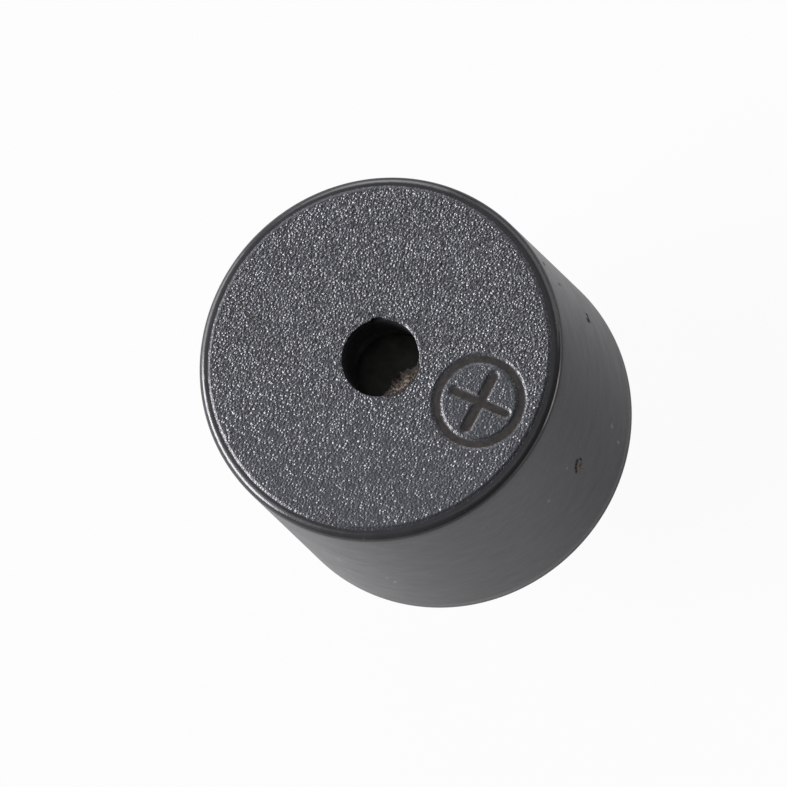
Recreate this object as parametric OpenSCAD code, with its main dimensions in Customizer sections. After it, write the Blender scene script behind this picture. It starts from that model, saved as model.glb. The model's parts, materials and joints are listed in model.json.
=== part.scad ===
// Magnetic buzzer: a moulded cup over an electromagnet that pulls a sprung steel diaphragm.
// Millimetres. Z = 0 is the cup's open rim, which sits on the circuit board it is soldered to.
// +Z is the side the sound leaves by, and the plus pin stands on the +X side.

/* [Housing] */
// Diameter over the housing at its open rim
housing_d = 12; // [11.9:0.1:12.4]
// Height of the housing from its open rim to its top
housing_h = 9.5; // [9.3:0.1:10.5]
// How much smaller the diameter is at the top, for the mould's draft
draft = 0.16; // [0.04:0.02:0.3]
// Thickness of the side wall round the motor
side_wall = 0.6; // [0.5:0.05:0.7]
// Thickness of the top
top_wall = 1; // [0.8:0.1:1.2]
// Radius of the rounded edge round the top
edge_round = 0.28; // [0.2:0.02:0.34]
// Diameter of the raised disc on the top, which has the spark-eroded grain
disc_d = 10.92; // [10.8:0.02:11]
// Height of that disc above the smooth band round it
disc_step = 0.06; // [0.03:0.01:0.1]
// How far the disc's edge slopes out from its face to the band
disc_slope = 0.15; // [0.05:0.01:0.15]
// Diameter of the sound hole
hole_d = 2.5; // [2:0.1:2.6]
// Length of the sound hole, through the top and the neck inside it
hole_l = 1.9; // [1.5:0.1:2]

/* [Plus mark] */
// Distance of the mark from the housing's axis
mark_x = 3.64; // [3.5:0.02:3.7]
// Outer diameter of the engraved ring, halfway down its wall
mark_d = 3.12; // [2.9:0.02:3.2]
// Width of the engraved ring, halfway down its walls
mark_ring = 0.36; // [0.3:0.02:0.4]
// Length of each arm of the engraved cross, end to end
mark_arm = 2.22; // [1.8:0.02:2.3]
// Width of the cross's strokes, halfway down their walls
mark_stroke = 0.38; // [0.24:0.02:0.4]
// Depth of the engraving
mark_depth = 0.065; // [0.05:0.005:0.15]
// How far each wall of the engraving leans out from its floor to the disc's face
mark_lean = 0.06; // [0.02:0.01:0.12]

/* [Pins] */
// Diameter of each pin
pin_d = 0.6; // [0.5:0.05:0.65]
// Distance between the two pins
pin_pitch = 7.6; // [7.4:0.1:7.7]
// Length of each pin below the housing's rim
pin_l = 4; // [3:0.5:7]

/* [Base] */
// Depth of the sealing resin's face inside the rim
recess = 0.2; // [0.1:0.05:0.3]
// Thickness of the sealing resin
resin_t = 1.4; // [1.4:0.05:1.5]
// Thickness of the round circuit board
board_t = 0.6; // [0.5:0.1:0.6]

/* [Motor] */
// Thickness of the yoke plate
yoke_t = 0.7; // [0.6:0.1:0.8]
// Diameter of the iron core
core_d = 2.4; // [2.2:0.1:2.4]
// Height of the core above the yoke plate
core_h = 3; // [2.9:0.1:3]
// Diameter of the winding wire over its enamel
wire_d = 0.125; // [0.125:0.005:0.14]
// Turns in one layer of either winding
layer_turns = 20; // [14:1:20]
// Height of the ring magnet
magnet_h = 2.1; // [1.8:0.1:2.5]
// Air gap between the core and the diaphragm
air_gap = 0.3; // [0.2:0.05:0.4]
// Thickness of the steel diaphragm
diaphragm_t = 0.08; // [0.06:0.01:0.1]
// Diameter of the armature disc on the diaphragm
armature_d = 3.8; // [3:0.1:4]
// Thickness of the armature disc
armature_t = 0.35; // [0.2:0.05:0.5]

/* [Hidden] */
$fn = 96;
skin = 0.5; // how far a cut runs past the face it opens through

// Heights of the stack, from the rim up
board_z = recess + resin_t;
yoke_z = board_z + board_t;
motor_z = yoke_z + yoke_t;
core_top = motor_z + core_h;
seat_z = core_top + air_gap;
shoulder_z = seat_z + 0.35;
chamber_z = housing_h - top_wall;
neck_z = housing_h - hole_l;
band_z = housing_h - disc_step;

// Radii of the housing
rim_r = housing_d / 2;
top_r = (housing_d - draft) / 2;
bore_r = rim_r - side_wall;
chamber_r = bore_r - 0.75;
neck_r = hole_d / 2 + 0.6;
neck_taper = 0.15;
foot_bevel = 0.08;
entry_bevel = 0.15;

// Fits and edges of the motor's parts
yoke_r = bore_r - 0.1;
ring_r = bore_r - 0.05;
ring_bore = 4.75;
seat_r = 5;
diaphragm_r = seat_r - 0.05;
magnet_r = ring_bore - 0.05;
magnet_bore = 3.35;
edge_bevel = 0.1;
rivet_d = 1.6;
rivet_head_d = 2.2;
rivet_head_t = 0.3;
board_eye_r = rivet_head_d / 2 + 0.2;
pin_slot_r = 0.9;

// Windings: the drive winding is inside, the feedback winding is laid over it
drive_bore = core_d / 2 + 0.1;
drive_r = 2.42;
feedback_bore = drive_r + 0.02;
feedback_r = 3.1;
drive_leads = [50, 130];
feedback_leads = [30, 150];
drive_lead_r = 2.2;
feedback_lead_r = 2.9;
lead_eye_r = 0.3;
board_lead_eye_r = 0.12;
lead_end_z = board_z - 0.15;

// Pins
head_r = 0.62;
head_t = 0.2;
pin_swell = 0.02;
tip_l = 0.2;
board_pin_eye_r = 0.48;

// Copper and solder under the board
copper_t = 0.05;
copper_z = board_z - copper_t;
track_w = 0.26;
pin_pad_r = 0.95;
lead_pad_r = 0.42;
fillet_r = 0.5;
fillet_lip = 0.04;
dome_r = 0.34;
dome_h = 0.26;

// Transistor, in the three-legged outline 2.9 mm long, and chip resistor, 1.6 x 0.8 mm
transistor_at = [0, -3.15];
transistor_l = 2.9;
transistor_w = 1.3;
transistor_h = 0.95;
transistor_clear = 0.08;
transistor_slope = 0.12;
leg_w = 0.4;
leg_t = 0.12;
leg_reach = 1.2;
leg_foot = 0.36;
leg_pitch = 0.95;
resistor_at = [0, 3.4];
resistor_l = 1.6;
resistor_w = 0.8;
resistor_h = 0.45;
cap_l = 0.32;
cap_t = 0.04;
chip_fillet = 0.22;

// ---------- shared shapes ----------

// Places children at both pins, or at an angle and a radius
module at_pins() { for (side = [-1, 1]) translate([side * pin_pitch / 2, 0, 0]) children(); }
module at_polar(angle, r) { rotate([0, 0, angle]) translate([r, 0, 0]) rotate([0, 0, -angle]) children(); }
module at_leads() {
    for (angle = drive_leads) at_polar(angle, drive_lead_r) children();
    for (angle = feedback_leads) at_polar(angle, feedback_lead_r) children();
}

// A ring of rectangular section with bevelled edges
module bevelled_ring(inner, outer, z, h, bevel) {
    rotate_extrude()
        polygon([
            [inner + bevel, z], [outer - bevel, z], [outer, z + bevel], [outer, z + h - bevel],
            [outer - bevel, z + h], [inner + bevel, z + h], [inner, z + h - bevel], [inner, z + bevel]
        ]);
}

// ---------- housing ----------

// Half section: drafted side, rounded top edge and raised disc, less the stepped cavity round the neck
module housing_section() {
    difference() {
        union() {
            polygon([
                [0, 0], [rim_r - foot_bevel, 0], [rim_r, foot_bevel],
                [top_r, band_z - edge_round], [0, band_z - edge_round]
            ]);
            square([top_r - edge_round, band_z]);
            translate([top_r - edge_round, band_z - edge_round]) circle(r = edge_round);
            polygon([
                [0, band_z - edge_round], [disc_d / 2 + disc_slope, band_z - edge_round],
                [disc_d / 2 + disc_slope, band_z], [disc_d / 2, housing_h], [0, housing_h]
            ]);
        }
        polygon([
            [0, -skin], [bore_r + entry_bevel, -skin], [bore_r + entry_bevel, 0],
            [bore_r, entry_bevel], [bore_r, shoulder_z], [chamber_r, shoulder_z],
            [chamber_r, chamber_z], [neck_r, chamber_z], [neck_r - neck_taper, neck_z], [0, neck_z]
        ]);
        square([hole_d / 2, housing_h + skin]);
    }
}

// Section of a groove of the engraving, from its floor to past the disc's face
module groove_section(width) {
    floor_w = width - mark_lean;
    face_w = width + mark_lean;
    polygon([
        [-floor_w / 2, 0], [floor_w / 2, 0], [face_w / 2, mark_depth],
        [face_w / 2, mark_depth + skin], [-face_w / 2, mark_depth + skin], [-face_w / 2, mark_depth]
    ]);
}

// A straight groove along X with round ends
module groove() {
    straight = mark_arm - mark_stroke;
    translate([-straight / 2, 0, 0])
        rotate([90, 0, 90]) linear_extrude(straight) groove_section(mark_stroke);
    for (end = [-1, 1])
        translate([end * straight / 2, 0, 0])
            rotate_extrude()
                intersection() {
                    groove_section(mark_stroke);
                    square([mark_stroke, mark_depth + skin]);
                }
}

// A cross inside a ring
module plus_mark() {
    rotate_extrude() translate([(mark_d - mark_ring) / 2, 0]) groove_section(mark_ring);
    groove();
    rotate([0, 0, 90]) groove();
}

module housing() {
    color("#2b2d30")
        difference() {
            rotate_extrude() housing_section();
            translate([mark_x, 0, housing_h - mark_depth]) plus_mark();
        }
}

// ---------- pins ----------

// The shank swells a little towards the head that is upset on it
module pin_body() {
    translate([0, 0, -pin_l]) cylinder(h = tip_l, d1 = pin_d * 0.6, d2 = pin_d);
    translate([0, 0, tip_l - pin_l]) cylinder(h = pin_l - tip_l + recess, d = pin_d);
    translate([0, 0, recess]) cylinder(h = yoke_z - recess, d1 = pin_d, d2 = pin_d + 2 * pin_swell);
    translate([0, 0, yoke_z]) cylinder(h = head_t, r = head_r);
}

module plus_pin() { color("#b9b7ae") translate([pin_pitch / 2, 0, 0]) pin_body(); }
module minus_pin() { color("#b9b7ae") translate([-pin_pitch / 2, 0, 0]) pin_body(); }

// ---------- circuit board ----------

module circuit_board() {
    color("#8a6a35")
        translate([0, 0, board_z])
            linear_extrude(board_t)
                difference() {
                    circle(r = bore_r);
                    circle(r = board_eye_r);
                    at_pins() circle(r = board_pin_eye_r);
                    at_leads() circle(r = board_lead_eye_r);
                }
}

// A track along an arc about the board's centre, with round ends
module arc_track(r, from, to) {
    rotate([0, 0, from]) rotate_extrude(angle = to - from)
        translate([r - track_w / 2, 0]) square([track_w, copper_t]);
    for (angle = [from, to]) at_polar(angle, r) cylinder(h = copper_t, d = track_w);
}

// A straight track from a to b, with round ends
module line_track(a, b) {
    run = b - a;
    translate(a) {
        rotate([0, 0, atan2(run.y, run.x)])
            translate([0, -track_w / 2, 0]) cube([norm(run), track_w, copper_t]);
        cylinder(h = copper_t, d = track_w);
    }
    translate(b) cylinder(h = copper_t, d = track_w);
}

function polar(angle, r) = [r * cos(angle), r * sin(angle)];

// Where each part of the circuit meets the board
plus_at = [pin_pitch / 2, 0];
minus_at = [-pin_pitch / 2, 0];
collector_at = transistor_at + [0, leg_reach];
base_at = transistor_at + [leg_pitch, -leg_reach];
emitter_at = transistor_at + [-leg_pitch, -leg_reach];
resistor_in = resistor_at - [resistor_l / 2, 0];
resistor_out = resistor_at + [resistor_l / 2, 0];
outer_track_r = 4.95;
inner_track_r = 1.6;

// Pads for the pins, the winding ends and both chips, joined as a two-winding oscillator
module copper_tracks() {
    color("#c07a3e")
        translate([0, 0, copper_z])
            difference() {
                union() {
                    at_pins() cylinder(h = copper_t, r = pin_pad_r);
                    at_leads() cylinder(h = copper_t, r = lead_pad_r);
                    for (at = [collector_at, base_at, emitter_at]) chip_pad(at, leg_w + 0.2, leg_foot + 0.4);
                    for (at = [resistor_in, resistor_out]) chip_pad(at, cap_l + 0.4, resistor_w + 0.1);
                    line_track(plus_at, polar(feedback_leads[0], feedback_lead_r));
                    line_track(
                        polar(feedback_leads[0], feedback_lead_r), polar(drive_leads[0], drive_lead_r)
                    );
                    line_track(polar(feedback_leads[1], feedback_lead_r), resistor_in);
                    line_track(resistor_out, polar(66, outer_track_r));
                    arc_track(outer_track_r, -68, 66);
                    line_track(polar(-68, outer_track_r), base_at);
                    line_track(polar(drive_leads[1], drive_lead_r), polar(140, inner_track_r));
                    arc_track(inner_track_r, 140, 270);
                    line_track(polar(270, inner_track_r), collector_at);
                    line_track(emitter_at, minus_at);
                }
                at_pins() translate([0, 0, -skin]) cylinder(h = copper_t + 2 * skin, r = board_pin_eye_r);
                at_leads() translate([0, 0, -skin]) cylinder(h = copper_t + 2 * skin, r = board_lead_eye_r);
            }
}

module chip_pad(at, w, l) {
    translate([at.x - w / 2, at.y - l / 2, 0]) cube([w, l, copper_t]);
}

// ---------- solder ----------

// A concave cone from the pad to the pin
module pin_joint() {
    difference() {
        rotate_extrude()
            difference() {
                square([pin_d / 2 + fillet_r + fillet_lip, fillet_r + fillet_lip]);
                translate([pin_d / 2 + fillet_r + fillet_lip, 0]) circle(r = fillet_r);
            }
        translate([0, 0, -skin]) cylinder(h = fillet_r + 2 * skin, d = pin_d);
    }
}

module pin_solder() {
    color("#9a9c9e")
        difference() {
            at_pins() {
                translate([0, 0, copper_z - fillet_r - fillet_lip]) pin_joint();
                translate([0, 0, copper_z]) cylinder(h = copper_t, r = board_pin_eye_r);
            }
            plus_pin();
            minus_pin();
        }
}

// A low dome over each winding end
module lead_solder() {
    ball_r = (dome_r * dome_r + dome_h * dome_h) / (2 * dome_h);
    color("#9a9c9e")
        difference() {
            at_leads() {
                intersection() {
                    translate([0, 0, copper_z - dome_h + ball_r]) sphere(r = ball_r);
                    translate([0, 0, copper_z - dome_h]) cylinder(h = dome_h, r = dome_r + skin);
                }
                translate([0, 0, copper_z]) cylinder(h = copper_t, r = board_lead_eye_r);
            }
            at_leads() lead_wire();
        }
}

// A concave wedge of solder along a chip's end; it runs along X and faces -Y
module chip_joint(w) {
    translate([-w / 2, 0, 0])
        rotate([90, 0, 90])
            linear_extrude(w)
                difference() {
                    translate([-chip_fillet, -chip_fillet]) square(chip_fillet);
                    translate([-chip_fillet - fillet_lip, -chip_fillet - fillet_lip]) circle(r = chip_fillet);
                }
}

module chip_solder() {
    legs = [[collector_at, 180], [base_at, 0], [emitter_at, 0]];
    ends = [[resistor_in, -90], [resistor_out, 90]];
    color("#9a9c9e")
        translate([0, 0, copper_z]) {
            for (leg = legs)
                translate(leg[0]) rotate([0, 0, leg[1]]) leg_joint();
            for (end = ends)
                translate(end[0]) rotate([0, 0, end[1]]) chip_joint(resistor_w);
        }
}

// The leg's foot is thin, so its wedge is low: it stands off the foot's end
module leg_joint() {
    translate([-leg_w / 2, -leg_foot / 2 - leg_t, -leg_t])
        difference() {
            cube([leg_w, leg_t, leg_t]);
            translate([-skin, -fillet_lip, -fillet_lip])
                rotate([0, 90, 0]) cylinder(h = leg_w + 2 * skin, r = leg_t);
        }
}

// ---------- transistor and resistor, hung under the board ----------

// A hexagonal section: the moulded body slopes in above and below its parting line
module sloped_outline(w, h) {
    polygon([
        [-w / 2 + transistor_slope, 0], [w / 2 - transistor_slope, 0], [w / 2, h / 2],
        [w / 2 - transistor_slope, h], [-w / 2 + transistor_slope, h], [-w / 2, h / 2]
    ]);
}

module transistor_body() {
    color("#1d1d1f")
        translate([transistor_at.x, transistor_at.y, copper_z - transistor_clear - transistor_h])
            difference() {
                intersection() {
                    translate([0, transistor_w / 2, 0])
                        rotate([90, 0, 0])
                            linear_extrude(transistor_w) sloped_outline(transistor_l, transistor_h);
                    translate([-transistor_l / 2, 0, 0])
                        rotate([90, 0, 90])
                            linear_extrude(transistor_l) sloped_outline(transistor_w, transistor_h);
                }
                translate([-transistor_at.x, -transistor_at.y, transistor_clear + transistor_h - copper_z])
                    transistor_legs();
            }
}

// Side view of a leg: out of the body, up a slope and along its foot on the pad
module leg_outline() {
    knee = transistor_w / 2 + 0.12;
    foot = leg_reach - leg_foot / 2;
    out_z = -transistor_clear - transistor_h / 2;
    polygon([
        [transistor_w / 2 - 0.25, out_z - leg_t / 2], [knee, out_z - leg_t / 2],
        [foot, -leg_t], [leg_reach + leg_foot / 2, -leg_t], [leg_reach + leg_foot / 2, 0],
        [foot - 0.06, 0], [knee - 0.06, out_z + leg_t / 2], [transistor_w / 2 - 0.25, out_z + leg_t / 2]
    ]);
}

module transistor_leg() {
    translate([-leg_w / 2, 0, 0]) rotate([90, 0, 90]) linear_extrude(leg_w) leg_outline();
}

module transistor_legs() {
    color("#a9aaa8")
        translate([transistor_at.x, transistor_at.y, copper_z]) {
            transistor_leg();
            for (side = [-1, 1]) translate([side * leg_pitch, 0, 0]) rotate([0, 0, 180]) transistor_leg();
        }
}

module resistor_body() {
    color("#e8e4da")
        difference() {
            translate([
                resistor_at.x - resistor_l / 2 + cap_t, resistor_at.y - resistor_w / 2, copper_z - resistor_h
            ])
                cube([resistor_l - 2 * cap_t, resistor_w, resistor_h]);
            resistor_caps();
        }
}

// Each cap wraps round the end of the chip, above, below and across it
module resistor_caps() {
    color("#a9aaa8")
        translate([resistor_at.x, resistor_at.y, copper_z - resistor_h])
            for (side = [-1, 1])
                turn_to_side(side)
                    translate([-resistor_w / 2, 0, 0])
                        difference() {
                            translate([0, resistor_l / 2 - cap_l, 0]) cube([resistor_w, cap_l, resistor_h]);
                            translate([-skin, resistor_l / 2 - cap_l - skin, cap_t])
                                cube([resistor_w + 2 * skin, cap_l + skin - cap_t, resistor_h - 2 * cap_t]);
                        }
}

// Turns +Y to +X or -X
module turn_to_side(side) { rotate([0, 0, side * -90]) children(); }

// ---------- motor ----------

module yoke_plate() {
    color("#8f9194")
        translate([0, 0, yoke_z])
            linear_extrude(yoke_t)
                difference() {
                    circle(r = yoke_r);
                    circle(d = rivet_d);
                    at_leads() circle(r = lead_eye_r);
                    for (side = [-1, 1]) {
                        translate([side * pin_pitch / 2, 0]) circle(r = pin_slot_r);
                        translate([side * (pin_pitch / 2 + bore_r / 2), 0])
                            square([bore_r, 2 * pin_slot_r], center = true);
                    }
                }
}

// The core stands on the plate and is riveted over under it
module core() {
    color("#a5a7a9")
        rotate_extrude()
            polygon([
                [0, yoke_z - rivet_head_t], [rivet_head_d / 2 - edge_bevel, yoke_z - rivet_head_t],
                [rivet_head_d / 2, yoke_z - rivet_head_t + edge_bevel], [rivet_head_d / 2, yoke_z],
                [rivet_d / 2, yoke_z], [rivet_d / 2, motor_z], [core_d / 2, motor_z],
                [core_d / 2, core_top - edge_bevel], [core_d / 2 - edge_bevel, core_top], [0, core_top]
            ]);
}

// One end of a winding, straight down through the yoke plate and the board
module lead_wire() {
    translate([0, 0, lead_end_z]) cylinder(h = motor_z + wire_d - lead_end_z, d = wire_d);
}

// A wound cylinder: the turns of its outer layer show as ridges
module winding(inner, outer) {
    rotate_extrude()
        union() {
            translate([inner, motor_z]) square([outer - inner - wire_d / 2, layer_turns * wire_d]);
            for (turn = [0 : layer_turns - 1])
                translate([outer - wire_d / 2, motor_z + (turn + 0.5) * wire_d]) circle(d = wire_d);
        }
}

module drive_winding() {
    color("#b4592a") {
        winding(drive_bore, drive_r);
        for (angle = drive_leads) at_polar(angle, drive_lead_r) lead_wire();
    }
}

module feedback_winding() {
    color("#c46a33") {
        winding(feedback_bore, feedback_r);
        for (angle = feedback_leads) at_polar(angle, feedback_lead_r) lead_wire();
    }
}

module ring_magnet() {
    color("#4a4a4c") bevelled_ring(magnet_bore, magnet_r, motor_z, magnet_h, edge_bevel);
}

// The ring stands on the yoke plate and carries the diaphragm on a ledge inside its lip
module support_ring() {
    color("#b8b9b5")
        rotate_extrude()
            polygon([
                [ring_bore, motor_z], [ring_r, motor_z], [ring_r, shoulder_z], [seat_r, shoulder_z],
                [seat_r, seat_z], [ring_bore, seat_z]
            ]);
}

module diaphragm() {
    color("#9fa3a8") translate([0, 0, seat_z]) cylinder(h = diaphragm_t, r = diaphragm_r);
}

module armature() {
    color("#8d9196")
        bevelled_disc(armature_d / 2, seat_z + diaphragm_t, armature_t, armature_t / 4);
}

module bevelled_disc(r, z, h, bevel) {
    rotate_extrude() polygon([[0, z], [r, z], [r, z + h - bevel], [r - bevel, z + h], [0, z + h]]);
}

// ---------- sealing resin ----------

// Cast against the underside of the board, round everything that hangs from it
module resin() {
    color("#191a1c")
        difference() {
            union() {
                translate([0, 0, recess]) cylinder(h = resin_t, r = bore_r);
                cylinder(h = yoke_z - rivet_head_t, r = board_eye_r);
            }
            cylinder(h = recess, r = board_eye_r + skin);
            translate([0, 0, copper_z]) {
                at_pins() cylinder(h = copper_t + skin, r = board_pin_eye_r);
                at_leads() cylinder(h = copper_t + skin, r = board_lead_eye_r);
            }
            copper_tracks();
            plus_pin();
            minus_pin();
            pin_solder();
            lead_solder();
            at_leads() lead_wire();
            chip_solder();
            transistor_body();
            transistor_legs();
            resistor_body();
            resistor_caps();
        }
}

housing();
resin();
circuit_board();
copper_tracks();
plus_pin();
minus_pin();
pin_solder();
lead_solder();
chip_solder();
transistor_body();
transistor_legs();
resistor_body();
resistor_caps();
yoke_plate();
core();
drive_winding();
feedback_winding();
ring_magnet();
support_ring();
diaphragm();
armature();
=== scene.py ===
"""Magnetic buzzer: finishes, fine form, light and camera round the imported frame.

+Z points out of the sound hole, +X towards the plus pin. Blender's objects are in metres. The
sizes below are in millimetres, and make_piece turns them into metres when it makes a mesh.
"""
import json
import math

import bmesh
import bpy
import numpy as np
from mathutils import Matrix, Vector


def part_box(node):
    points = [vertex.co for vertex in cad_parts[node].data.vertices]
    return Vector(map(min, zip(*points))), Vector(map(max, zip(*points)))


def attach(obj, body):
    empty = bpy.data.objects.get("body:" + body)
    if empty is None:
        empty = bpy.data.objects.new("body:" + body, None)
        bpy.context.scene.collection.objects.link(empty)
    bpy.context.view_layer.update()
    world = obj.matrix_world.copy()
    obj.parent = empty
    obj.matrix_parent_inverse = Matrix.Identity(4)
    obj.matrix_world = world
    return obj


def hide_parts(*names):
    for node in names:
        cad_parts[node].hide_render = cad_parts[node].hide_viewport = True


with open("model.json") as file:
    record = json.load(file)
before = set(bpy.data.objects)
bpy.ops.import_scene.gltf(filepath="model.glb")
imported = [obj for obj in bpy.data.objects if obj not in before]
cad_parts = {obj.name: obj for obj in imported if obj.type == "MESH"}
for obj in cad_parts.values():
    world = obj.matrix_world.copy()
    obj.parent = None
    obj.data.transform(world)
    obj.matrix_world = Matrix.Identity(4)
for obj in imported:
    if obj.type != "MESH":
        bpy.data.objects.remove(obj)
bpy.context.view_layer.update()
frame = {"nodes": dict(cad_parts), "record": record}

MM = 0.001
rng = np.random.default_rng(12)
mounts = {m["name"]: m for m in frame["record"]["mounts"]}

# ---------- sizes, in millimetres ----------

RIM_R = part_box("housing")[1].x / MM
HOUSING_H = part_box("housing")[1].z / MM
BORE_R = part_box("circuit_board")[1].x / MM
SHOULDER_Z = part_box("support_ring")[1].z / MM
HOLE_R = mounts["sound_hole"]["dims"]["r_mm"]
HOLE_L = mounts["sound_hole"]["dims"]["length_mm"]
PIN_L = mounts["plus_pin"]["dims"]["length_mm"]

DRAFT = 0.08                  # how much smaller the housing's radius is at the top
TOP_R = RIM_R - DRAFT
DISC_R = 5.46                 # the spark-eroded disc, inside its rounded edge
DISC_STEP = 0.07              # how far the disc stands above the smooth band round it
BAND_Z = HOUSING_H - DISC_STEP
EDGE_ROUND = 0.28             # from the smooth band down to the side
FOOT_ROUND = 0.08
BORE_CHAMFER = 0.15
CHAMBER_R = BORE_R - 0.75     # the sound chamber, above the shoulder for the diaphragm
CHAMBER_Z = HOUSING_H - 1.0
NECK_R = HOLE_R + 0.6         # the short neck under the sound hole
NECK_TAPER = 0.15
NECK_Z = HOUSING_H - HOLE_L

MARK_X = 3.64                 # middle of the plus mark's ring
MARK_R = 1.56                 # outside of the ring
MARK_RING = 0.36              # width of the ring's groove
CROSS_X = 3.68                # the cross is cut a little off the ring's centre
CROSS_TURNS = (0, 87.6)       # and its arms are not quite square to each other
MARK_ARM = 2.22
MARK_STROKE = 0.38
MARK_DEPTH = 0.065
MARK_SLOPE = 0.115            # width of the engraving's sloped walls

# ---------- camera ----------

# The direction from the object to the camera, its azimuth turning from -Y towards +X, and the
# roll
VIEW_AZIMUTH = 71.3
VIEW_ELEVATION = 70.6
VIEW_ROLL = 46.4
VIEW_DISTANCE = 0.6
VIEW_WIDTH = 24.85 * MM       # what the picture spans at the top of the housing
VIEW_CLIP = (0.1, 5)
SENSOR_WIDTH = 36
AIM_RIGHT = 0.47 * MM         # from the centre of the top to the picture's centre
AIM_UP = -1.149 * MM


def camera_basis():
    """The camera's right, up and backward directions in the row frame."""
    azimuth, elevation = math.radians(VIEW_AZIMUTH), math.radians(VIEW_ELEVATION)
    back = Vector((
        math.sin(azimuth) * math.cos(elevation),
        -math.cos(azimuth) * math.cos(elevation),
        math.sin(elevation),
    ))
    level = Vector((0, 0, 1)).cross(back).normalized()
    roll = Matrix.Rotation(math.radians(-VIEW_ROLL), 3, back)
    right = roll @ level
    return right, back.cross(right), back


def make_camera():
    right, up, back = camera_basis()
    data = bpy.data.cameras.new("camera")
    data.sensor_width = SENSOR_WIDTH
    data.lens = data.sensor_width * VIEW_DISTANCE / VIEW_WIDTH
    data.clip_start, data.clip_end = VIEW_CLIP
    camera = bpy.data.objects.new("camera", data)
    aim = Vector((0, 0, HOUSING_H * MM)) + right * AIM_RIGHT + up * AIM_UP
    camera.matrix_world = Matrix((
        (right.x, up.x, back.x, 0),
        (right.y, up.y, back.y, 0),
        (right.z, up.z, back.z, 0),
        (0, 0, 0, 1),
    ))
    camera.location = aim + back * VIEW_DISTANCE
    bpy.context.scene.collection.objects.link(camera)
    bpy.context.scene.camera = camera


make_camera()

# ---------- light ----------

LAMP_DISTANCE = 0.4           # metres from the middle of the housing

# Azimuth from +X towards +Y and elevation, in degrees; width and height in metres; power in watts
LAMPS = {
    "key_lamp": (215, 28, 0.3, 0.16, 3.0),
    "low_lamp": (180, 15, 0.2, 0.2, 0.5),
    "left_lamp": (135, 32, 0.2, 0.2, 0.35),
    "high_lamp": (225, 50, 0.2, 0.2, 0.2),
    "back_lamp": (125, 20, 0.2, 0.2, 0.3),
    "side_lamp": (75, 22, 0.4, 0.25, 0.45),
    "eye_lamp": (-19, 74, 0.2, 0.2, 0.05),
}

WORLD_LIGHT = 0.03            # the world's level where it lights a surface
WORLD_MIRRORED = 0.1          # in reflections
WORLD_SEEN = 0.974            # and to the camera


def soft_lamp(name, azimuth, elevation, width, height, power):
    """A rectangular area lamp that faces the middle of the housing."""
    azimuth, elevation = math.radians(azimuth), math.radians(elevation)
    way = Vector((
        math.cos(azimuth) * math.cos(elevation),
        math.sin(azimuth) * math.cos(elevation),
        math.sin(elevation),
    ))
    data = bpy.data.lights.new(name, "AREA")
    data.shape = "RECTANGLE"
    data.size = width
    data.size_y = height
    data.energy = power
    lamp = bpy.data.objects.new(name, data)
    lamp.location = Vector((0, 0, HOUSING_H * MM / 2)) + way * LAMP_DISTANCE
    lamp.rotation_mode = "QUATERNION"
    lamp.rotation_quaternion = way.to_track_quat("Z", "Y")
    bpy.context.scene.collection.objects.link(lamp)


def make_world():
    """A plain white world whose level depends on the kind of ray that meets it."""
    world = bpy.data.worlds.new("studio")
    bpy.context.scene.world = world
    world.use_nodes = True
    nodes, link = world.node_tree.nodes, world.node_tree.links.new
    path = nodes.new("ShaderNodeLightPath")
    below = None
    for ray, level in (
        ("Is Transmission Ray", WORLD_MIRRORED),
        ("Is Glossy Ray", WORLD_MIRRORED),
        ("Is Camera Ray", WORLD_SEEN),
    ):
        choose = nodes.new("ShaderNodeMix")
        link(path.outputs[ray], choose.inputs["Factor"])
        choose.inputs[2].default_value = WORLD_LIGHT
        choose.inputs[3].default_value = level
        if below:
            link(below, choose.inputs[2])
        below = choose.outputs[0]
    nodes["Background"].inputs["Color"].default_value = (1, 1, 1, 1)
    link(below, nodes["Background"].inputs["Strength"])


for lamp_name, lamp_values in LAMPS.items():
    soft_lamp(lamp_name, *lamp_values)
make_world()
bpy.context.scene.view_settings.view_transform = "Standard"

# ---------- material nodes ----------

SPOT_SQUASH = 0.45            # marks on the side are drawn out upwards, as moulding flaws are
SPOT_CORE = 0.55              # the part of a mark's half width that shows in full


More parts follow.
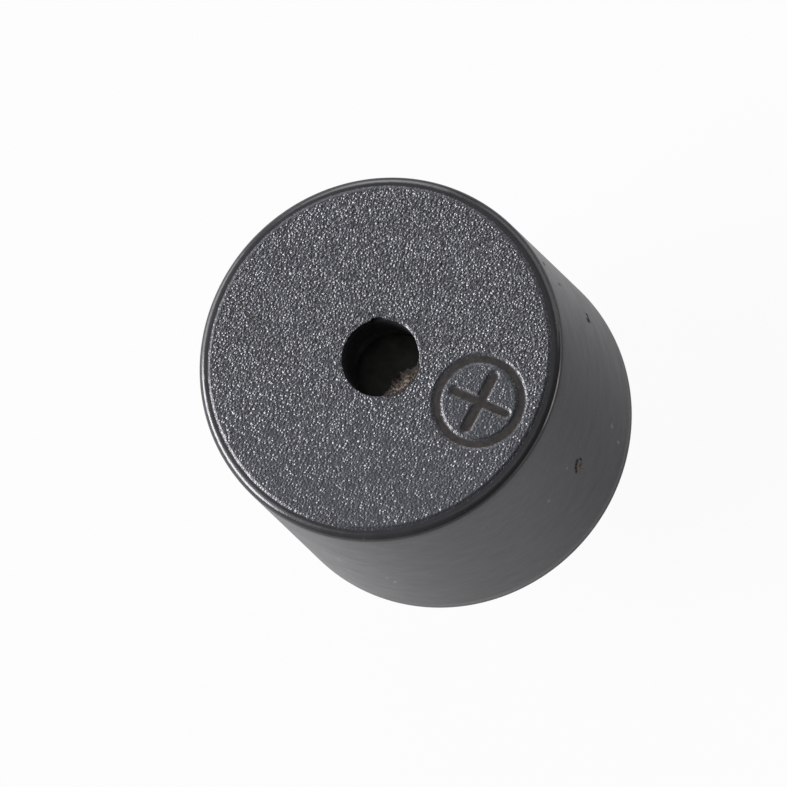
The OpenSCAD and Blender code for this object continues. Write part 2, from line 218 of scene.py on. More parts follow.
class Finish:
    """A material with one principled shader, and short ways to add nodes to it."""

    def __init__(self, name, colour, roughness, metallic=0.0, specular=0.5):
        self.material = bpy.data.materials.new(name)
        self.material.use_nodes = True
        self.tree = self.material.node_tree
        self.shader = self.tree.nodes["Principled BSDF"]
        self.shader.inputs["Base Color"].default_value = (*colour, 1)
        self.shader.inputs["Roughness"].default_value = roughness
        self.shader.inputs["Metallic"].default_value = metallic
        self.shader.inputs["Specular IOR Level"].default_value = specular

    def node(self, kind, **properties):
        """A new node with its properties set."""
        made = self.tree.nodes.new(kind)
        for key, value in properties.items():
            setattr(made, key, value)
        return made

    def feed(self, socket, value):
        """Sets a socket's value, or links an output to it."""
        if isinstance(value, bpy.types.NodeSocket):
            self.tree.links.new(value, socket)
        else:
            socket.default_value = value

    def millimetres(self, stretch=(1, 1, 1)):
        """The row frame's coordinates in millimetres, times a stretch."""
        place = self.node("ShaderNodeTexCoord").outputs["Object"]
        scale = self.node("ShaderNodeMapping")
        scale.inputs["Scale"].default_value = [s / MM for s in stretch]
        self.feed(scale.inputs["Vector"], place)
        return scale.outputs["Vector"]

    def noise(self, place, scale, detail, rough=0.5):
        """Cloudy noise, its scale in waves to a millimetre."""
        made = self.node("ShaderNodeTexNoise")
        self.feed(made.inputs["Vector"], place)
        self.feed(made.inputs["Scale"], scale)
        self.feed(made.inputs["Detail"], detail)
        self.feed(made.inputs["Roughness"], rough)
        return made.outputs["Fac"]

    def cells(self, place, pitch):
        """The distance from the middle of a cell, in pitches, and the cell's random number."""
        made = self.node("ShaderNodeTexVoronoi")
        self.feed(made.inputs["Vector"], place)
        self.feed(made.inputs["Scale"], 1 / pitch)
        return made.outputs["Distance"], made.outputs["Color"]

    def warped(self, place, scale, reach):
        """The coordinates pushed about by noise, up to a reach."""
        source = self.node("ShaderNodeTexNoise")
        self.feed(source.inputs["Vector"], place)
        self.feed(source.inputs["Scale"], scale)
        away = self.node("ShaderNodeVectorMath", operation="SUBTRACT")
        self.feed(away.inputs[0], place)
        away.inputs[1].default_value = (reach,) * 3
        made = self.node("ShaderNodeVectorMath", operation="MULTIPLY_ADD")
        self.feed(made.inputs[0], source.outputs["Color"])
        made.inputs[1].default_value = (2 * reach,) * 3
        self.feed(made.inputs[2], away.outputs[0])
        return made.outputs[0]

    def attribute(self, name):
        """A number stored on the mesh's points."""
        return self.node("ShaderNodeAttribute", attribute_name=name).outputs["Fac"]

    def ramp(self, value, low, high, out_low=0.0, out_high=1.0):
        """Maps low..high to out_low..out_high, clamped."""
        made = self.node("ShaderNodeMapRange")
        for name, number in (
            ("Value", value), ("From Min", low), ("From Max", high),
            ("To Min", out_low), ("To Max", out_high),
        ):
            self.feed(made.inputs[name], number)
        return made.outputs["Result"]

    def maths(self, operation, a, b):
        made = self.node("ShaderNodeMath", operation=operation)
        self.feed(made.inputs[0], a)
        self.feed(made.inputs[1], b)
        return made.outputs["Value"]

    def times(self, a, b):
        return self.maths("MULTIPLY", a, b)

    def most(self, a, b):
        """The larger of two numbers."""
        return self.maths("MAXIMUM", a, b)

    def mix_number(self, factor, a, b):
        """A blend of two numbers."""
        made = self.node("ShaderNodeMix", data_type="FLOAT")
        self.feed(made.inputs["Factor"], factor)
        self.feed(made.inputs[2], a)
        self.feed(made.inputs[3], b)
        return made.outputs[0]

    def mix(self, factor, a, b):
        """A blend of two colours."""
        made = self.node("ShaderNodeMix", data_type="RGBA")
        self.feed(made.inputs["Factor"], factor)
        for socket, value in zip((made.inputs[6], made.inputs[7]), (a, b)):
            self.feed(socket, (*value, 1) if isinstance(value, tuple) else value)
        return made.outputs[2]

    def spot(self, place, centre, radius):
        """1 close to a point, falling to 0 at a radius from it."""
        away = self.node("ShaderNodeVectorMath", operation="DISTANCE")
        self.feed(away.inputs[0], place)
        away.inputs[1].default_value = centre
        return self.ramp(away.outputs["Value"], radius * SPOT_CORE, radius, 1, 0)

    def spots(self, place, marks):
        """The strongest of several marks on the side, in squashed coordinates."""
        total = 0.0
        for angle, height, radius in marks:
            angle = math.radians(angle)
            face_r = RIM_R - DRAFT * height / HOUSING_H
            x, y = face_r * math.cos(angle), face_r * math.sin(angle)
            total = self.most(total, self.spot(place, (x, y, height * SPOT_SQUASH), radius))
        return total

    def bump(self, height, depth, under=None):
        """Bumps of a depth in millimetres, over those of another bump node."""
        made = self.node("ShaderNodeBump")
        made.inputs["Distance"].default_value = depth * MM
        self.feed(made.inputs["Height"], height)
        if under:
            self.feed(made.inputs["Normal"], under)
        return made.outputs["Normal"]

    def use(self, **sockets):
        """Feeds the shader's sockets, named with _ for a space, and returns the material."""
        for name, output in sockets.items():
            self.feed(self.shader.inputs[name.replace("_", " ")], output)
        return self.material


# ---------- finish of the housing ----------

# Marks on the side, as (degrees round the axis, height, half width)
GOUGES = (
    (49.6, 4.12, 0.1), (48.6, 4.12, 0.07), (47.6, 4.2, 0.1), (46.9, 4.45, 0.08),
    (-2.0, 4.55, 0.07), (-1.4, 4.75, 0.08), (-0.5, 4.87, 0.08), (0.5, 4.92, 0.08),
    (1.6, 4.7, 0.07), (52.2, 7.3, 0.07), (57.0, 8.4, 0.08),
)
FILLER_SPOTS = ((-0.3, 4.42, 0.15), (0.6, 4.55, 0.11))
LIGHT_SPOTS = (
    (51.3, 7.35, 0.08), (17.6, 2.45, 0.08), (14.7, 1.43, 0.07), (-3.4, 5.51, 0.06),
    (-14.6, 5.14, 0.06), (-86.9, 5.16, 0.08), (-87.2, 3.58, 0.07), (-73.9, 4.03, 0.06),
    (-72.5, 3.54, 0.06),
)
SMUDGES = ((25.2, 2.35, 0.13), (21.2, 2.15, 0.12), (19.9, 2.75, 0.11), (53, 7.6, 0.09))

PLASTIC = ((0.026, 0.0256, 0.0286), (0.034, 0.0334, 0.037))
PLASTIC_TINT = (0.965, 0.95, 1, 1)
# Painted sheen: the eroded disc is lighter and bluer than the plastic, for the light its grain
# scatters
DISC_SHEEN_COLOUR = (0.05, 0.054, 0.064)
GROOVE = ((0.024, 0.021, 0.021), (0.044, 0.038, 0.035))
FLUFF = (0.24, 0.23, 0.23)
# Painted shade: near black for the grain's pits and inside the gouges
SHADE_BLACK = (0.002, 0.002, 0.002)
SMUDGE = (0.012, 0.008, 0.006)
LIGHT_SPOT = (0.24, 0.24, 0.24)
FILLER = ((0.03, 0.02, 0.014), (0.3, 0.21, 0.13))
# Painted highlight along the mould's parting line, which is a real low ridge
LINE_HIGHLIGHT = (0.95, 0.9, 0.8)
RESIDUE_DARK = (0.008, 0.004, 0.002)
# Painted shade: the residue darkens from its lip to deep in the hole
RESIDUE_SHADE_TO_PALE = ((0.034, 0.015, 0.008), (0.32, 0.26, 0.195))   # deep in the hole, at its lip

FACE_ROUGH = (0.19, 0.25)     # roughness of the smooth faces, in streaks
GRAIN_ROUGH = (0.25, 0.15)    # of the disc, where its grain is weak and where it is strong
FLAW_ROUGH = 0.8
LINE_ROUGH = 0.45
DUST_ROUGH = 1.0
GOUGE_DEPTH = 0.03
WAVE_DEPTH = 0.014            # slow waves of all the plastic's faces
CRUMB_DEPTH = 0.26
CRUMB_SCALE = 11              # crumbs of dust to a millimetre

# The finest of the disc's grain and the fluff are cells of the shader, each with a random number.
# Shares are the numbers between which a cell starts to count, and edges are in pitches.
PEAK_PITCH = 0.08
PEAK_SLOPE = 0.6
PEAK_FALL = (-0.65, -1.2)     # from the middle of the lowest and the highest peak, to a pitch
# Cells of painted shade, for the pits of the grain
PIT_PITCH = 0.062
PIT_SHARE = (0.35, 0.45)
PIT_EDGE = (0.35, 0.65)
FLUFF_PITCH = 0.3
FLUFF_SHARE = (0.62, 0.64)
FLUFF_EDGE = (0.06, 0.12)
FLUFF_SHOWS = 0.25


def grain_peaks(finish, place, grain):
    """Height of the eroded grain's sharp peaks, which differ in size."""
    distance, chance = finish.cells(place, PEAK_PITCH)
    fall = finish.ramp(chance, 0.3, 0.7, *PEAK_FALL)
    return finish.times(grain, finish.times(distance, fall))


def painted_pit_shade(finish, place, grain):
    """Painted shade: dark spots for the pits between the peaks, which hold no light."""
    distance, chance = finish.cells(place, PIT_PITCH)
    pit_shade = finish.times(
        finish.ramp(chance, *PIT_SHARE), finish.ramp(distance, *PIT_EDGE, 1, 0))
    return finish.times(pit_shade, grain)


def dust_cover(finish, crumbs, dust_and_shading, pit_shade):
    """Where dust hides the plastic: in crumbs, and the more of them the more there is of it."""
    cover = finish.maths("ADD", crumbs, finish.ramp(dust_and_shading, 0, 1, -0.4, 0.3))
    cover = finish.times(finish.ramp(cover, 0.45, 0.6), finish.ramp(dust_and_shading, 0, 0.1))
    cover = finish.most(cover, finish.ramp(dust_and_shading, 0.2, 0.35))
    return finish.times(cover, finish.maths("SUBTRACT", 1.0, pit_shade))


def plain_colour(finish, place):
    """The moulded plastic's two close tones, with a few specks of fluff."""
    cloud = finish.noise(place, 0.8, 6, 0.66)
    colour = finish.mix(finish.ramp(cloud, 0.34, 0.66), *PLASTIC)
    distance, chance = finish.cells(place, FLUFF_PITCH)
    fluff = finish.times(
        finish.ramp(chance, *FLUFF_SHARE), finish.ramp(distance, *FLUFF_EDGE, FLUFF_SHOWS, 0))
    return finish.mix(fluff, colour, FLUFF)


def housing_finish():
    """Black moulded plastic: attributes on the mesh tell the eroded disc from smooth faces."""
    finish = Finish("housing_plastic", (0.03, 0.03, 0.033), 0.2, specular=0.6)
    finish.shader.inputs["Specular Tint"].default_value = PLASTIC_TINT
    place = finish.millimetres()
    grain, dust_and_shading = finish.attribute("grain"), finish.attribute("dust_and_shading")
    groove, line = finish.attribute("groove"), finish.attribute("line")
    on_disc = finish.ramp(grain, 0, 0.6)
    pit_shade = painted_pit_shade(finish, place, grain)
    crumbs = finish.noise(place, CRUMB_SCALE, 3, 0.7)
    cover = dust_cover(finish, crumbs, dust_and_shading, pit_shade)
    squashed = finish.warped(finish.millimetres((1, 1, SPOT_SQUASH)), 12, 0.06)
    gouge = finish.spots(squashed, GOUGES)
    filler = finish.spots(squashed, FILLER_SPOTS)

    # Each layer of colour lies over the ones before it
    mottle = finish.ramp(finish.noise(place, 5, 3, 0.6), 0.35, 0.65)
    smudge = finish.times(finish.spots(squashed, SMUDGES), 0.5)
    light_spot = finish.times(finish.spots(squashed, LIGHT_SPOTS), 0.6)
    # The residue: dark and pale crumbs, and darker deeper in the hole as painted shade
    shaded_residue = finish.mix(
        finish.ramp(crumbs, 0.46, 0.64), RESIDUE_DARK,
        finish.mix(finish.ramp(dust_and_shading, 0.55, 1), *RESIDUE_SHADE_TO_PALE))
    colour = plain_colour(finish, place)
    for factor, layer in (
        (groove, finish.mix(mottle, *GROOVE)),
        # painted sheen on the eroded disc
        (on_disc, DISC_SHEEN_COLOUR),
        # painted shade in the grain's pits
        (pit_shade, SHADE_BLACK),
        (smudge, SMUDGE),
        (light_spot, LIGHT_SPOT),
        # gouges: dents made by the bump below, painted near black inside as painted shade
        (gouge, SHADE_BLACK),
        (filler, finish.mix(finish.ramp(crumbs, 0.42, 0.56), *FILLER)),
        # painted highlight on the parting line
        (line, LINE_HIGHLIGHT),
        (cover, shaded_residue),
    ):
        colour = finish.mix(factor, colour, layer)

    normal = finish.bump(finish.maths("SUBTRACT", 0.0, gouge), GOUGE_DEPTH)
    normal = finish.bump(finish.noise(place, 1.5, 5, 0.6), WAVE_DEPTH, under=normal)
    peaks = grain_peaks(finish, place, grain)
    normal = finish.bump(peaks, PEAK_PITCH * PEAK_SLOPE, under=normal)
    normal = finish.bump(finish.times(crumbs, cover), CRUMB_DEPTH, under=normal)

    streak = finish.noise(finish.millimetres((1, 1, 2.5)), 0.9, 4)
    rough = finish.ramp(streak, 0.3, 0.7, *FACE_ROUGH)
    for factor, layer in (
        (on_disc, finish.ramp(grain, 0.65, 1, *GRAIN_ROUGH)),
        (cover, DUST_ROUGH),
        (finish.most(pit_shade, finish.most(gouge, filler)), FLAW_ROUGH),
        (line, LINE_ROUGH),
    ):
        rough = finish.mix_number(factor, rough, layer)
    return finish.use(Base_Color=colour, Roughness=rough, Normal=normal)


# ---------- other finishes ----------

RESIN_BUMP = 0.05
METAL_BUMP = 0.002
METAL_DULL = 0.7              # how much darker metal is where it has dulled
PRESSED_BUMP = 0.003


def resin_finish():
    """Poured black resin: glossy, a little wavy, with fine pale specks."""
    finish = Finish("resin", (0.02, 0.02, 0.022), 0.16)
    place = finish.millimetres()
    wave = finish.noise(place, 0.8, 2)
    specks = finish.ramp(finish.noise(place, 14, 1), 0.68, 0.74)
    colour = finish.mix(specks, (0.018, 0.018, 0.02), (0.05, 0.05, 0.05))
    rough = finish.ramp(finish.noise(place, 2.5, 3), 0.3, 0.7, 0.1, 0.26)
    return finish.use(Base_Color=colour, Roughness=rough, Normal=finish.bump(wave, RESIN_BUMP))


def metal_finish(name, colour, roughness, drawn=(1, 1, 1), scale=18):
    """Plain metal with marks stretched along its drawing or rolling direction."""
    finish = Finish(name, colour, roughness, metallic=1.0)
    marks = finish.noise(finish.millimetres(drawn), scale, 4, 0.6)
    cloud = finish.noise(finish.millimetres(), 2.2, 3)
    darker = tuple(c * METAL_DULL for c in colour)
    tone = finish.mix(finish.ramp(cloud, 0.35, 0.7), colour, darker)
    rough = finish.ramp(marks, 0.3, 0.7, roughness * 0.75, roughness * 1.3)
    bumps = finish.bump(marks, METAL_BUMP)
    return finish.use(Base_Color=tone, Roughness=rough, Normal=bumps)


def plastic_finish(name, colour, roughness, second, scale=6):
    """A moulded, pressed or fired surface in two close tones."""
    finish = Finish(name, colour, roughness)
    place = finish.millimetres()
    patches = finish.ramp(finish.noise(place, scale, 4, 0.6), 0.35, 0.65)
    tone = finish.mix(patches, colour, second)
    rough = finish.ramp(patches, 0, 1, roughness * 0.85, roughness * 1.15)
    bumps = finish.bump(finish.noise(place, scale * 4, 3), PRESSED_BUMP)
    return finish.use(Base_Color=tone, Roughness=rough, Normal=bumps)


# ---------- mesh tools ----------


def make_piece(name, points, faces, finish, attributes=None):
    """A smooth mesh from points in millimetres, with float attributes on its points."""
    mesh = bpy.data.meshes.new(name)
    mesh.from_pydata((np.asarray(points) * MM).tolist(), [], faces)
    mesh.polygons.foreach_set("use_smooth", [True] * len(mesh.polygons))
    for key, values in (attributes or {}).items():
        layer = mesh.attributes.new(key, "FLOAT", "POINT")
        layer.data.foreach_set("value", np.asarray(values, np.float32))
    mesh.materials.append(finish)
    mesh.update()
    piece = bpy.data.objects.new(name, mesh)
    bpy.context.scene.collection.objects.link(piece)
    return piece


def weld(piece):
    """Joins the last ring to the first, which lie on each other."""
    mesh = bmesh.new()
    mesh.from_mesh(piece.data)
    bmesh.ops.remove_doubles(mesh, verts=mesh.verts, dist=1e-7)
    bmesh.ops.recalc_face_normals(mesh, faces=mesh.faces)
    mesh.to_mesh(piece.data)
    mesh.free()


def ring_mesh(rings):
    """Points and triangles of a surface of revolution through rings of (radius, height, count).

    Neighbouring rings may differ in count. Every other ring is turned by half a step, so that
    the triangles between them are even.
    """
    points, starts, turns = [], [], []
    for radius, height, count in rings:
        turn = 0.0 if len(turns) % 2 else 0.5
        angle = (np.arange(count) + turn) * 2 * math.pi / count
        starts.append(len(points))
        turns.append(turn)
        x, y = radius * np.cos(angle), radius * np.sin(angle)
        points += np.column_stack([x, y, np.full(count, height)]).tolist()
    counts = [count for _, _, count in rings]
    ends = list(zip(starts, counts, turns))
    faces = []
    for lower, upper in zip(ends, ends[1:]):
        faces += stitch(*lower, *upper)
    return np.array(points), faces


def stitch(a, na, ta, b, nb, tb):
    """Triangles between a ring of na points from index a and one of nb points from index b.

    They are joined in order of angle. ta and tb are the rings' turns, in steps.
    """
    faces, i, j = [], 0, 0
    while i < na or j < nb:
        if j >= nb or (i < na and (i + 1 + ta) / na <= (j + 1 + tb) / nb):
            faces.append((a + i % na, a + (i + 1) % na, b + j % nb))
            i += 1
        else:
            faces.append((b + (j + 1) % nb, b + j % nb, a + i % na))
            j += 1
    return faces


def smooth(low, high, x):
    """A smooth step from 0 at low to 1 at high."""
    t = np.clip((x - low) / (high - low), 0, 1)
    return t * t * (3 - 2 * t)


def fade(low, high, x):
    """A smooth step from 1 at low to 0 at high."""
    return 1 - smooth(low, high, x)


def angle_from(x, y, centre):
    """Degrees round the axis from a centre angle, between -180 and 180."""
    return (np.degrees(np.arctan2(y, x)) - centre + 180) % 360 - 180


# ---------- section of the housing ----------

TOP_SPACING = 0.0372          # from point to point of the top's mesh
HOLE_COUNT = 220
SIDE_COUNT = 256
INNER_COUNT = 128
LIP = 0.03                    # radius of the hole's edge
EDGE_START = 86               # degrees up the edge's round at which its first ring lies
LINE_AT = 34                  # and at which the mould's parting line runs
LINE_GAP = 7                  # degrees to the rings beside it
LINE_RISE = 0.006
HOLE_RINGS = (                # depths, closer together towards the lip
    1.5, 1.2, 1, 0.85, 0.73, 0.62, 0.5, 0.42, 0.35, 0.29, 0.23, 0.18, 0.13, 0.09,
)
DISC_EDGE = (                 # how far out, what part of the step down, and how many points
    (0.015, 0.05, 720), (0.045, 0.28, 720), (0.08, 0.54, 512),
    (0.115, 0.81, 400), (0.14, 0.97, 320), (0.16, 1, SIDE_COUNT),
)


def top_edge(start, end, steps, rise=0.0):
    """Rings along the round edge of the top, from a start angle down to an end angle."""
    out = []
    for step in range(steps + 1):
        angle = math.radians(start + (end - start) * step / max(steps, 1))
        radius = TOP_R - EDGE_ROUND + (EDGE_ROUND + rise) * math.cos(angle)
        height = BAND_Z - EDGE_ROUND + (EDGE_ROUND + rise) * math.sin(angle)
        out.append((radius, height, SIDE_COUNT))
    return out


def housing_rings():
    """The closed section: up the hole, over the top, down the side and back up the cavity."""
    rings = [(HOLE_R, HOUSING_H - depth, HOLE_COUNT) for depth in (HOLE_L, *HOLE_RINGS)]
    for turn in (0, 30, 60):
        out, down = 1 - math.cos(math.radians(turn)), 1 - math.sin(math.radians(turn))
        rings.append((HOLE_R + LIP * out, HOUSING_H - LIP * down, HOLE_COUNT))
    first_top = len(rings)
    steps = round((DISC_R - HOLE_R - LIP) / (TOP_SPACING * math.sqrt(3) / 2))
    for step in range(steps + 1):
        radius = HOLE_R + LIP + (DISC_R - HOLE_R - LIP) * step / steps
        rings.append((radius, HOUSING_H, round(2 * math.pi * radius / TOP_SPACING)))
    last_top = len(rings)
    rings += [(DISC_R + out, HOUSING_H - DISC_STEP * drop, count)
              for out, drop, count in DISC_EDGE]
    rings += top_edge(EDGE_START, LINE_AT + LINE_GAP, 6)
    rings += top_edge(LINE_AT, LINE_AT, 0, LINE_RISE)
    rings += top_edge(LINE_AT - LINE_GAP, 0, 3)
    side_top = BAND_Z - EDGE_ROUND
    rings += [(TOP_R + DRAFT * t, side_top * (1 - t) + FOOT_ROUND * t, SIDE_COUNT)
              for t in (0.05, 0.2, 0.35, 0.5, 0.65, 0.8, 0.95, 1)]
    rings += [
        (RIM_R - 0.03, 0.02, SIDE_COUNT),
        (RIM_R - FOOT_ROUND, 0, SIDE_COUNT),
        (BORE_R + BORE_CHAMFER, 0, SIDE_COUNT),
        (BORE_R, BORE_CHAMFER, SIDE_COUNT),
        (BORE_R, SHOULDER_Z, INNER_COUNT),
        (CHAMBER_R, SHOULDER_Z, INNER_COUNT),
        (CHAMBER_R, CHAMBER_Z, INNER_COUNT),
        (NECK_R, CHAMBER_Z, INNER_COUNT),
        (NECK_R - NECK_TAPER, NECK_Z, INNER_COUNT),
        (HOLE_R, NECK_Z, HOLE_COUNT),
    ]
    return rings, first_top, last_top


# ---------- relief of the housing ----------

# Where features lie round the axis, in degrees from +X towards +Y
FLASH_AT = -21                # the burred flash in the hole
CHIP_AT = 121                 # a chip out of the hole's lip
WORN_AT = 75                  # where the lip is worn most
RUBBED_AT = 34                # where it is worn less, over a wider arc
# SHINE_AT is where the painted highlight on the parting line is brightest
SHINE_AT = 11                 # where the parting line on the top edge is bright
FAINT_AT = -65                # the side towards which the grain gets weaker

# Pairs are where a smooth step starts and ends: arcs in degrees from the feature's middle
FLASH_ARC = (14, 50)
FLASH_END = (0.7, 1.2)        # depths in the hole
FLASH_THICK = (0.2, 0.28)     # thickness all over, and what its own roughness adds
CHIP_ARC = (5, 13)
CHIP_END = (0.1, 0.3)
CHIP_CUT = 0.08
WORN_ARC = 13
WORN_CUT = 0.05
RUBBED_ARC = (24, 38)
RAGGED_CUT = 0.03
LIP_BAND = 0.05               # depth of what counts as the lip
HOLE_BAND = 0.2               # width round the hole that moves with its flaws
HOLE_SHIFT = 0.05             # the core pin that made the hole stood a little off the axis

GRAIN_PITCH = 0.16            # from dome to dome of the grain that is in the mesh
GRAIN_HEIGHT = 0.010
GROOVE_GRAIN = 0.06           # what is left of the grain on the engraving's floor
WALL_GRAIN = 0.4              # and on its sloped walls
FAINT_LOSS = 0.35
ISLAND_LOSS = 0.3             # how much weaker it is inside the mark's ring
CELLS = 128
dome_table = rng.random((CELLS, CELLS, 3))


def eroded_grain(x, y, pitch):
    """Height from 0 to 1 of overlapping domes, as left by a spark-eroded mould."""
    column, row = np.floor(x / pitch).astype(int), np.floor(y / pitch).astype(int)
    best = np.full(x.shape, -9.0)
    for dx in (-1, 0, 1):
        for dy in (-1, 0, 1):
            cell = dome_table[(column + dx) % CELLS, (row + dy) % CELLS]
            away_x = column + dx + cell[:, 0] - x / pitch
            away_y = row + dy + cell[:, 1] - y / pitch
            away = away_x ** 2 + away_y ** 2
            best = np.maximum(best, 0.45 + 0.55 * cell[:, 2] - 1.1 * away)
    return np.clip(best, 0, 1)


def mark_distance(x, y):
    """How far a point of the top is outside the engraved ring and cross; negative inside."""
    ring = np.abs(np.hypot(x - MARK_X, y) - (MARK_R - MARK_RING / 2)) - MARK_RING / 2
    reach = (MARK_ARM - MARK_STROKE) / 2
    arms = []
    for turn in CROSS_TURNS:
        along, across = math.cos(math.radians(turn)), math.sin(math.radians(turn))
        u = (x - CROSS_X) * along + y * across
        v = y * along - (x - CROSS_X) * across
        arms.append(np.hypot(np.maximum(np.abs(u) - reach, 0), v))
    return np.minimum(ring, np.minimum(*arms) - MARK_STROKE / 2)


def shape_hole(x, y, z):
    """The points moved for the hole's flaws, its dust, painted shade and light, and how worn its
    lip is.
    """
    radius, depth = np.hypot(x, y), HOUSING_H - z
    outward = np.array([x, y]) / radius
    in_hole = (radius < HOLE_R + HOLE_BAND) & (depth < HOLE_L)
    by_lip = (depth < LIP_BAND) * np.clip((HOLE_R + 0.12 - radius) / 0.1, 0, 1)

    # Burred flash with dust in it, on one side of the hole
    coarse = eroded_grain(x * 1.3 + depth, y * 1.3 - depth, 0.17)
    rough = coarse + 0.7 * eroded_grain(y, x + 2 * depth, 0.08)
    ragged_angle = np.abs(angle_from(x, y, FLASH_AT) + 5 * np.sin(9 * depth))
    flash = fade(*FLASH_ARC, ragged_angle)
    bulge = flash * smooth(-0.02, 0.45, depth) * fade(*FLASH_END, depth)
    bulge *= FLASH_THICK[0] + FLASH_THICK[1] * rough
    # The dust falls to half deeper in the hole, which darkens the residue's colour there: painted
    # shade
    dust_and_shading = flash * (1 - 0.5 * smooth(0.02, 0.4, depth)) * fade(*FLASH_END, depth)
    dust_and_shading *= fade(HOLE_R - 0.02, HOLE_R + 0.16, radius)
    # A faint film of dust on the hole's wall, lighter than the plastic, also paints light on a
    # wall the lamps barely reach
    dust_and_shading = np.maximum(dust_and_shading, 0.22 * in_hole * smooth(0.1, 0.4, depth))
    dust_and_shading *= in_hole | (radius < HOLE_R + 0.3)

    # A chip out of the lip, two worn places, and a slightly ragged edge all round
    chip = fade(*CHIP_ARC, np.abs(angle_from(x, y, CHIP_AT))) * fade(*CHIP_END, depth)
    ragged = RAGGED_CUT * (eroded_grain(x, y, 0.09) - 0.4) * fade(0.03, 0.2, depth)
    worn = np.exp(-(angle_from(x, y, WORN_AT) / WORN_ARC) ** 2)
    rubbed = fade(*RUBBED_ARC, np.abs(angle_from(x, y, RUBBED_AT)))
    worn = np.maximum(worn, 0.5 * rubbed)

    push = np.where(in_hole, -bulge + CHIP_CUT * chip + ragged, 0)
    x, y = np.array([x, y]) + outward * push
    z = z - np.where(in_hole, by_lip * (0.07 * flash * rough + WORN_CUT * worn), 0)
    x = x + HOLE_SHIFT * fade(HOLE_R + HOLE_BAND, DISC_R, radius) * (depth < HOLE_L + 0.01)
    worn_lip = worn * (depth < LIP_BAND) * fade(HOLE_R + 0.1, HOLE_R + 0.15, radius)
    return x, y, z, dust_and_shading, worn_lip


def grain_strength(x, y, radius, depth, outside_mark):
    """How strong the eroded grain is: less in the engraving, and none off the disc."""
    grain = GROOVE_GRAIN + (WALL_GRAIN - GROOVE_GRAIN) * smooth(-0.08, -0.03, outside_mark)
    grain += (1 - WALL_GRAIN) * smooth(0.02, 0.05, outside_mark)
    grain *= depth < DISC_STEP + 0.001
    grain *= smooth(HOLE_R - 0.01, HOLE_R + 0.02, radius)
    grain *= 1 - 0.6 * smooth(DISC_R, DISC_R + 0.05, radius)
    grain *= fade(DISC_R + 0.12, DISC_R + 0.15, radius)
    turn = math.radians(FAINT_AT)
    towards_faint = x * math.cos(turn) + y * math.sin(turn)
    grain *= 1 - FAINT_LOSS * smooth(-1, 4.5, towards_faint)
    grain *= 1 - ISLAND_LOSS * (np.hypot(x - MARK_X, y) < MARK_R - MARK_RING)
    return grain


def parting_line(x, y, z):
    """How strongly the painted highlight on the mould's parting line shows, at the points on it.
    """
    edge = math.radians(LINE_AT)
    line_r = TOP_R - EDGE_ROUND * (1 - math.cos(edge))
    line_z = BAND_Z - EDGE_ROUND * (1 - math.sin(edge))
    on_line = np.hypot(np.hypot(x, y) - line_r, z - line_z) < 2 * LINE_RISE
    turned = np.abs(angle_from(x, y, SHINE_AT))
    shine = 0.25 * fade(15, 40, turned) + 0.75 * fade(4, 13, turned)
    return on_line * shine * (0.6 + 0.4 * eroded_grain(x, y, 0.3))


def make_housing():
    rings, first_top, last_top = housing_rings()
    points, faces = ring_mesh(rings)
    starts = np.cumsum([0] + [count for _, _, count in rings])
    top = np.zeros(len(points), bool)
    top[starts[first_top]:starts[last_top]] = True
    x, y, z = points.T
    radius, depth = np.hypot(x, y), HOUSING_H - z
    line = parting_line(x, y, z)
    x, y, z, dust_and_shading, worn_lip = shape_hole(x, y, z)
    outside_mark = mark_distance(x, y)
    grain = grain_strength(x, y, radius, depth, outside_mark) * (1 - 0.95 * worn_lip)
    groove = np.where(top, fade(-0.09, -0.05, outside_mark), 0)
    relief = 0.7 * eroded_grain(x, y, GRAIN_PITCH)
    relief += 0.3 * eroded_grain(y + 3.1, x - 1.7, GRAIN_PITCH * 0.7)
    z = z + GRAIN_HEIGHT * np.where(top, grain * (relief - 1), 0)
    wall = np.clip((outside_mark + 0.02) / MARK_SLOPE + 0.5, 0, 1)
    z = z - np.where(top, MARK_DEPTH * (1 - wall), 0)
    points = np.column_stack([x, y, z])
    piece = make_piece("housing_shell", points, faces, housing_finish(), {
        "grain": grain, "dust_and_shading": dust_and_shading, "groove": groove, "line": line,
    })
    weld(piece)
    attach(piece, "root")
    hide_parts("housing")


make_housing()

# ---------- finishes of the CAD's own nodes ----------

tinned = metal_finish("pin_tin", (0.62, 0.61, 0.58), 0.32, drawn=(1, 1, 0.08))
solder = metal_finish("solder", (0.52, 0.53, 0.54), 0.3)
iron = metal_finish("soft_iron", (0.5, 0.5, 0.49), 0.35)
# Painted shade: the diaphragm's and armature's steel is far darker than bare steel, for the shade
# inside the housing
shaded_steel = metal_finish("spring_steel", (0.16, 0.16, 0.15), 0.5, scale=6)
ring_metal = metal_finish("ring_metal", (0.68, 0.68, 0.66), 0.35, drawn=(1, 1, 6))
chip_legs = metal_finish("chip_legs", (0.6, 0.6, 0.6), 0.3)
copper = metal_finish("copper", (0.72, 0.4, 0.24), 0.35)
winding = metal_finish("winding", (0.62, 0.25, 0.1), 0.22, drawn=(1, 1, 4))
board = plastic_finish("board", (0.42, 0.28, 0.11), 0.55, (0.35, 0.22, 0.08))
chip_black = plastic_finish("chip_black", (0.03, 0.03, 0.032), 0.5, (0.024, 0.024, 0.026))
ceramic = plastic_finish("chip_ceramic", (0.8, 0.78, 0.73), 0.4, (0.74, 0.72, 0.68))
ferrite = plastic_finish("ferrite", (0.09, 0.09, 0.095), 0.6, (0.07, 0.07, 0.075), scale=3)
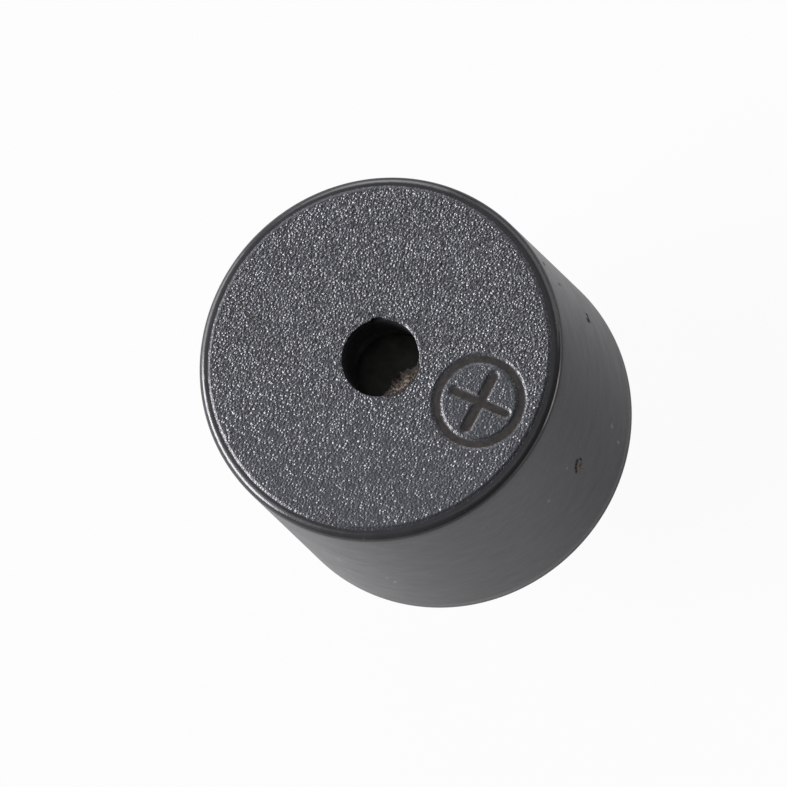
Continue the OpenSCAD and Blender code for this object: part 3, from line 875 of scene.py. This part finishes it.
finishes = {
    "resin": resin_finish(),
    "circuit_board": board, "copper_tracks": copper,
    "plus_pin": tinned, "minus_pin": tinned,
    "pin_solder": solder, "lead_solder": solder, "chip_solder": solder,
    "transistor_body": chip_black, "transistor_legs": chip_legs,
    "resistor_body": ceramic, "resistor_caps": chip_legs,
    "yoke_plate": iron, "core": iron,
    "drive_winding": winding, "feedback_winding": winding,
    "ring_magnet": ferrite, "support_ring": ring_metal,
    "diaphragm": shaded_steel, "armature": shaded_steel,
}
for node_name, node_finish in finishes.items():
    node_mesh = frame["nodes"][node_name].data
    node_mesh.materials.clear()
    node_mesh.materials.append(node_finish)

# ---------- floor ----------

FLOOR_HALF = 2000.0
FLOOR_GAP = 0.01              # between the pins' tips and the floor
FLOOR_GLOW = (0.985, 0.965, 1, 1)
WHITE = (1, 1, 1, 1)


def floor_finish():
    """Pale and lit by the lamps, and white to the camera except where the object shades it."""
    material = bpy.data.materials.new("floor")
    material.use_nodes = True
    tree = material.node_tree
    tree.nodes.clear()
    link = tree.links.new

    def blend(factor, first, second):
        mixed = tree.nodes.new("ShaderNodeMixShader")
        link(factor, mixed.inputs[0])
        link(first, mixed.inputs[1])
        link(second, mixed.inputs[2])
        return mixed.outputs[0]

    def surface(glow, glow_colour, shade):
        """A diffuse surface of one grey that also glows."""
        lit = tree.nodes.new("ShaderNodeBsdfDiffuse")
        lit.inputs["Color"].default_value = (shade, shade, shade, 1)
        glowing = tree.nodes.new("ShaderNodeEmission")
        glowing.inputs["Color"].default_value = glow_colour
        glowing.inputs["Strength"].default_value = glow
        both = tree.nodes.new("ShaderNodeAddShader")
        link(lit.outputs[0], both.inputs[0])
        link(glowing.outputs[0], both.inputs[1])
        return both.outputs[0]

    path = tree.nodes.new("ShaderNodeLightPath")
    mirrored = tree.nodes.new("ShaderNodeMath")
    mirrored.operation = "MAXIMUM"
    link(path.outputs["Is Glossy Ray"], mirrored.inputs[0])
    link(path.outputs["Is Transmission Ray"], mirrored.inputs[1])
    chosen = surface(0.0, FLOOR_GLOW, 0.8)
    chosen = blend(mirrored.outputs[0], chosen, surface(0.18, FLOOR_GLOW, 0.28))
    chosen = blend(path.outputs["Is Camera Ray"], chosen, surface(0.947, WHITE, 0.025))

    # The floor can't be seen from below
    clear = tree.nodes.new("ShaderNodeBsdfTransparent").outputs[0]
    facing_away = tree.nodes.new("ShaderNodeNewGeometry").outputs["Backfacing"]
    out = tree.nodes.new("ShaderNodeOutputMaterial")
    link(blend(facing_away, chosen, clear), out.inputs["Surface"])
    return material


floor_z = -PIN_L - FLOOR_GAP
corners = [(sx * FLOOR_HALF, sy * FLOOR_HALF, floor_z)
           for sx, sy in ((-1, -1), (1, -1), (1, 1), (-1, 1))]
floor = make_piece("floor", corners, [(0, 1, 2, 3)], floor_finish())
